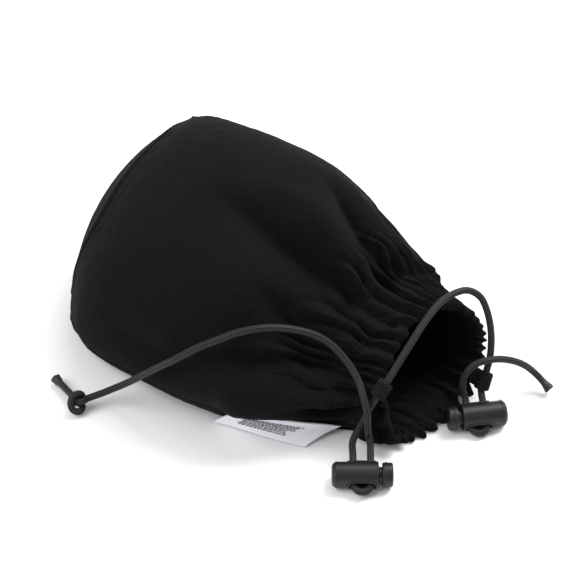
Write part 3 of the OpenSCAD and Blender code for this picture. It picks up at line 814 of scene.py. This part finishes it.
# overhand knot: the cord goes into the eye, comes round as one open turn, and leaves behind it
EYE = TARGET + 750 * BACK
ray = (76.6 - 288) / 2.77 * RIGHT - (402.7 - 288) / 2.77 * UP - 750 * BACK
KN = EYE + ray * ((4.1 - EYE[2]) / ray[2])
turn = [(3.2, 1.0, 0.9), (1.2, 0.2, 1.0), (-0.1, -0.2, -0.5), (0.8, 0.8, -2.0), (2.0, 2.1, -1.3), (1.3, 3.2, 0.1), (-0.5, 2.9, 1.0), (-1.8, 1.2, 1.2),
        (-1.9, -1.1, 1.1), (-0.8, -2.9, 0.8), (0.9, -3.2, 0.4), (2.1, -1.9, -0.6), (1.2, -0.2, -1.9), (-0.9, 1.5, -2.1)]
K = [KN + r * RIGHT + u * UP + b * BACK for r, u, b in turn]
knot_q = smooth_route([R_TAIL[-1]] + K + [(43.2, -63.3, 3.4), (42.2, -62.95, 3.3)], rounds=1)
knot_q[:, 2] = np.maximum(knot_q[:, 2], 1.25)
knot = tube("overhand_knot", knot_q, 1.2, ribs, sides=28)
finish_piece(knot, M_CORD, "pouch", ["cord_knot"])


def fused(name, a, b, ln, node_name):
    a, b = np.array(a, float), np.array(b, float)
    d = unit(b - a)
    e = b + d * ln
    q = np.array([a + (e - a) * k for k in np.linspace(0, 1, 60)])
    L = np.linalg.norm(e - a)
    rs2 = np.random.RandomState(len(name))
    phs = rs2.uniform(0, 6.28, 5)

    def rel(phi, s):
        k = smooth(L - ln - 0.5, L, s)
        melt = 0.10 * np.cos(3 * phi + phs[0] + s) + 0.08 * np.cos(5 * phi + phs[1] - 2 * s) + 0.05 * np.cos(9 * phi + phs[2] + 3 * s)
        return ribs(phi, s) * (1 - k) + melt * k

    def fl(u):
        return 1 + 0.50 * smooth(1 - (ln + 0.6) / L, 0.97, u) - 0.30 * smooth(0.955, 1.0, u)

    ob = tube(name, q, CORD_R, rel, sides=36, flare=fl)
    finish_piece(ob, M_FUSE, "pouch", [node_name])
    return ob


tip_a = fused("fused_tail_end", [43.2, -63.3, 3.4], [34.6, -60.4, 2.5], 3.8, "tail_tip")
tip_b = fused("fused_far_end", [171.5, 43.2, 5.2], [173.4, 43, 4.2], 3.6, "far_tip")


# ---------------------------------------------------------------- ribbed tape loops
def tape_loop(name, at, d, into, node_name, length=6.0):
    w = unit(d)
    q = np.asarray(into, float) - at
    q = q - (q @ w) * w
    reach = np.linalg.norm(q)
    dd = unit(q)
    nn = np.cross(w, dd)
    R, r_in, hb = 2.72, 1.42, 0.78
    # profile in (dd, nn): tail, round the cord, tail
    a0 = math.asin(hb / R)
    prof = [(x, hb) for x in np.linspace(reach, R * math.cos(a0) + 0.5, 9)]
    prof += [(R * math.cos(a), R * math.sin(a)) for a in np.linspace(a0 + 0.18, 2 * math.pi - a0 - 0.18, 44)]
    prof += [(x, -hb) for x in np.linspace(R * math.cos(a0) + 0.5, reach, 9)]
    prof = np.array(prof)
    nrm2 = np.gradient(prof, axis=0)
    nrm2 = np.stack([-nrm2[:, 1], nrm2[:, 0]], 1)
    nrm2 /= np.linalg.norm(nrm2, axis=1, keepdims=True)
    if (nrm2[30] @ prof[30]) < 0:
        nrm2 = -nrm2
    ang = np.arctan2(prof[:, 1], prof[:, 0])
    ax_n = 73
    zs = np.linspace(-length / 2, length / 2, ax_n)
    V, U = [], []
    for z in zs:
        rib = 0.13 * math.cos(2 * math.pi * z / 0.72)
        edge = -0.22 * (abs(z) / (length / 2)) ** 14
        p2 = prof + nrm2 * (rib + edge)
        sway = 0.25 * math.sin(z * 0.5 + len(name))
        V.append(at + p2[:, :1] * dd + p2[:, 1:] * nn + z * w + sway * smooth(2, 6, p2[:, :1]) * nn)
        U.append(np.stack([np.arange(len(prof)) * 0.5, np.full(len(prof), z)], 1))
    P = len(prof)
    inner = np.stack([r_in * np.cos(ang), r_in * np.sin(ang)], 1)
    for z in (zs[0], zs[-1]):
        V.append(at + inner[:, :1] * dd + inner[:, 1:] * nn + z * w)
        U.append(np.stack([np.arange(P) * 0.5, np.full(P, z)], 1))
    f = grid_faces(ax_n, P, True)
    i0, i1 = ax_n * P, (ax_n + 1) * P
    for j in range(P):
        k = (j + 1) % P
        f.append((k, j, i0 + j, i0 + k))
        f.append(((ax_n - 1) * P + j, (ax_n - 1) * P + k, i1 + k, i1 + j))
        f.append((i0 + k, i0 + j, i1 + j, i1 + k))
    ob = add_mesh(name, np.concatenate(V), f, np.concatenate(U))
    finish_piece(ob, M_TAPE, "pouch", [node_name])
    return ob


loop_a = tape_loop("near_ribbed_loop", NL, NLD, (139.5, -10.8, 24), "near_tape_loop")
loop_b = tape_loop("far_ribbed_loop", FL, FLD, (151.5, 26.8, 9), "far_tape_loop")


# ---------------------------------------------------------------- care label
def label():
    n, k = 61, 25
    s = np.linspace(0, 1, n)
    T = skin(102 + 28 * s, math.pi) + sag(102 + 28 * s, np.full(n, 180.0)) + np.stack([0 * s, 1.2 + 0.8 * s, -1.2 - 2.4 * s], -1)
    B = np.array([89.5, -40.5, 0.75]) + 34 * s[:, None] * np.array([0.96, 0.29, 0])
    nrm = unit([0.29, -0.92, -0.26])
    up = -nrm
    V, U = [], []
    path = []
    for u in np.linspace(0, 1, k):
        path.append((u, 0.0))
    for a in np.linspace(0, math.pi, 7)[1:-1]:
        path.append((1 + 0.022 * math.sin(a), 0.42 * (1 - math.cos(a)) / 2 * 1.0))
    for u in np.linspace(1, 0, k):
        path.append((u, 0.42))
    arc = 0
    for (u, off) in path:
        bend = 1.1 * math.sin(math.pi * min(u, 1)) + 0.5 * np.sin(s * 5.0 + 1.0) * u * (1 - 0.4 * u)
        P = T + (B - T) * u + up * (bend * 1.0 if np.isscalar(bend) else bend[:, None]) + nrm * off * (0.35 + 0.65 * min(u, 1)) * 1.0
        V.append(P)
        U.append(np.stack([s * 34, np.full(n, arc)], 1))
        arc += 0.7
    V = np.array(V)
    V[..., 2] = np.maximum(V[..., 2], 0.12)
    # thickness 0.16
    m1 = V.reshape(-1, 3)
    G1 = np.cross(np.gradient(V, axis=1), np.gradient(V, axis=0))
    G1 /= np.maximum(np.linalg.norm(G1, axis=2, keepdims=True), 1e-9)
    m2 = (V + G1 * 0.16)
    m2[..., 2] = np.maximum(m2[..., 2], 0.04)
    r, c = V.shape[:2]
    N = r * c
    f = grid_faces(r, c, False) + [(q[3], q[2], q[1], q[0]) for q in grid_faces(r, c, False, N)]
    for i in range(r - 1):
        f.append((i * c, (i + 1) * c, N + (i + 1) * c, N + i * c))
        f.append(((i + 1) * c + c - 1, i * c + c - 1, N + i * c + c - 1, N + (i + 1) * c + c - 1))
    for j in range(c - 1):
        f.append((j + 1, j, N + j, N + j + 1))
        e = (r - 1) * c
        f.append((e + j, e + j + 1, N + e + j + 1, N + e + j))
    uv = np.concatenate(U)
    ob = add_mesh("care_label_cloth", np.vstack([m1, m2.reshape(-1, 3)]), f, np.vstack([uv, uv]))
    return ob, V, G1, k


lab, LV, LN, LK = label()
finish_piece(lab, M_LABEL, "pouch", ["care_label"])

# generic printed block: rows of plain dashes, no letters
rs3 = np.random.RandomState(4)
pv, pf = [], []
outer_top = LV[::-1][:LK]


def lab_at(su, uu, lift):
    a = su * (outer_top.shape[1] - 1)
    b = uu * (LK - 1)
    i, j = int(min(b, LK - 2)), int(min(a, outer_top.shape[1] - 2))
    fa, fb = a - j, b - i
    P = (outer_top[i, j] * (1 - fb) + outer_top[i + 1, j] * fb) * (1 - fa) + (outer_top[i, j + 1] * (1 - fb) + outer_top[i + 1, j + 1] * fb) * fa
    return P + LIFT * lift


c0 = outer_top[LK // 2, 30]
LIFT = unit(np.cross(outer_top[LK // 2, 31] - c0, outer_top[LK // 2 + 1, 30] - c0))
if LIFT @ BACK < 0:
    LIFT = -LIFT
for row in range(7):
    uu = 0.36 + row * 0.068
    s0 = 0.17 + rs3.uniform(0, 0.03)
    end = 0.78 - (0.10 * row / 6) - rs3.uniform(0, 0.05)
    while s0 < end:
        ln = rs3.uniform(0.008, 0.035)
        c = len(pv)
        for (a, b) in ((s0, uu), (s0 + ln, uu), (s0 + ln, uu + 0.034), (s0, uu + 0.034)):
            pv.append(lab_at(a, b, 0.34))
        for (a, b) in ((s0, uu), (s0 + ln, uu), (s0 + ln, uu + 0.034), (s0, uu + 0.034)):
            pv.append(lab_at(a, b, 0.10))
        pf += [(c, c + 1, c + 2, c + 3), (c + 7, c + 6, c + 5, c + 4)]
        pf += [(c + (j + 1) % 4, c + j, c + 4 + j, c + 4 + (j + 1) % 4) for j in range(4)]
        s0 += ln + rs3.uniform(0.006, 0.014)
prt = add_mesh("label_marks", np.array(pv), pf, flat=True)
finish_piece(prt, M_INK, "pouch")

# ---------------------------------------------------------------- carried CAD nodes
# seam_binding takes the dimmed inside twill, painted shade
NODE_MAT = {"near_lock_barrel": M_PLA, "near_lock_plunger": M_PLA, "far_lock_barrel": M_PLA, "far_lock_plunger": M_PLA,
            "near_lock_spring": M_STEEL, "far_lock_spring": M_STEEL, "seam_binding": M_FAB_INSIDE_PAINTED_SHADE}
for ob in list(bpy.context.scene.objects):
    k = ob.get("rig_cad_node")
    if k in NODE_MAT:
        ob.data.materials.clear()
        ob.data.materials.append(NODE_MAT[k])


def stadium_lip(name, at, u, v, w, x0, body, y, r0=0.42):
    """The raised collar round the cord slot, bent over the barrel's round side."""
    n, kk = 72, 10
    R = 4.5
    L = 4.6 + 0.35
    V = []
    for i in range(n):
        a = 2 * math.pi * i / n
        cx = x0 + (L - 1.95) * np.sign(math.cos(a)) * (1 if abs(math.cos(a)) > 1e-6 else 0) * min(1, abs(math.cos(a)) * 6) + 1.95 * math.cos(a)
        cz = 1.95 * math.sin(a)
        yy = y * math.sqrt(max(R * R - cz * cz, 0))
        c = np.array([cx, yy, cz])
        out = np.array([math.cos(a), 0, math.sin(a)])
        rad = np.array([0, yy, cz]) / R
        for j in range(kk):
            b = 2 * math.pi * j / kk
            V.append(c + r0 * (math.cos(b) * out + math.sin(b) * rad))
    V = np.array(V)
    W = at + V[:, :1] * u + V[:, 1:2] * v + V[:, 2:] * w
    f = []
    for i in range(n):
        for j in range(kk):
            a, b = i * kk + j, i * kk + (j + 1) % kk
            c, d = ((i + 1) % n) * kk + j, ((i + 1) % n) * kk + (j + 1) % kk
            f.append((a, b, d, c))
    ob = add_mesh(name, W, f)
    return finish_piece(ob, M_PLA, body)


def ring(name, at, u, v, w, prof, body, sides=64):
    """A turned ring on the lock's axis; prof is (x, r) points, closed."""
    V, n = [], len(prof)
    for i in range(sides):
        a = 2 * math.pi * i / sides
        for (x, r) in prof:
            V.append(at + x * u + r * (math.cos(a) * v + math.sin(a) * w))
    f = []
    for i in range(sides):
        for j in range(n):
            f.append((i * n + j, i * n + (j + 1) % n, ((i + 1) % sides) * n + (j + 1) % n, ((i + 1) % sides) * n + j))
    ob = add_mesh(name, np.array(V), f)
    return finish_piece(ob, M_PLA, body)


for tag, at, u, v in (("near", NEAR_AT, NU, NV), ("far", FAR_AT, FU, FV)):
    w = np.cross(u, v)
    for side, y in (("upper", 1), ("lower", -1)):
        stadium_lip(f"{tag}_lock_{side}_cord_collar", at, u, v, w, 2.4, f"{tag}_lock", y)
    # moulded bead at the closed end and at the open rim
    ring(f"{tag}_lock_end_bead", at, u, v, w, [(-6.9, 4.3), (-6.75, 4.62), (-6.5, 4.66), (-6.25, 4.62), (-6.1, 4.3)], f"{tag}_lock")
    ring(f"{tag}_lock_rim_bead", at, u, v, w, [(7.35, 4.3), (7.5, 4.58), (7.75, 4.6), (7.95, 4.5), (8.0, 4.2)], f"{tag}_lock")
    ring(f"{tag}_button_ridge", at, u, v, w, [(10.2, 4.1), (10.35, 4.36), (10.6, 4.40), (10.85, 4.36), (11.0, 4.1)], f"{tag}_button")


print("cord lengths mm:", [round(length_of(q), 1) for q in (C_TAIL, C_SPAN, C_FAR)])

# ---------------------------------------------------------------- floor and light
fl_me = bpy.data.meshes.new("floor")
fl_me.from_pydata([(-6, -6, -0.0002), (6, -6, -0.0002), (6, 6, -0.0002), (-6, 6, -0.0002)], [], [(0, 1, 2, 3)])
floor = bpy.data.objects.new("floor", fl_me)
bpy.context.scene.collection.objects.link(floor)
fm, nt, sh = material("pale_floor")
n1 = noise(nt, obj_coord(nt), 3.0, 2.0)
link(nt, ramp(nt, n1, [(0.3, (0.90, 0.90, 0.905)), (0.7, (0.92, 0.92, 0.925))]), sh.inputs["Base Color"])
sh.inputs["Roughness"].default_value = 0.9
sh.inputs["Specular IOR Level"].default_value = 0.1
fl_me.materials.append(fm)

world = bpy.data.worlds.new("studio")
world.use_nodes = True
bg = world.node_tree.nodes["Background"]
bg.inputs[0].default_value = (1.0, 1.0, 1.0, 1)
bg.inputs[1].default_value = 0.54
bpy.context.scene.world = world
CEN = m([84, 0, 30])


def area(name, d, dist, size, power):
    ld = bpy.data.lights.new(name, "AREA")
    ld.energy = power
    ld.size = size
    ob = bpy.data.objects.new(name, ld)
    bpy.context.scene.collection.objects.link(ob)
    p = Vector(CEN) + Vector(unit(d)) * dist
    ob.location = p
    ob.rotation_mode = "QUATERNION"
    ob.rotation_quaternion = (Vector(CEN) - p).to_track_quat("-Z", "Y")
    return ob


area("key", 0.55 * RIGHT + np.array([0, 0, 1.05]) - 0.45 * BACK, 0.8, 0.42, 6.2)
area("fill", -1.0 * RIGHT + np.array([0, 0, 0.75]) + 0.6 * BACK, 1.2, 0.9, 10.0)
area("back", 0.25 * RIGHT + np.array([0, 0, 1.0]) - 0.55 * BACK * [1, 1, 0], 1.0, 0.6, 3.2)
bpy.context.scene.view_settings.view_transform = "Standard"
bpy.context.scene.view_settings.look = "None"
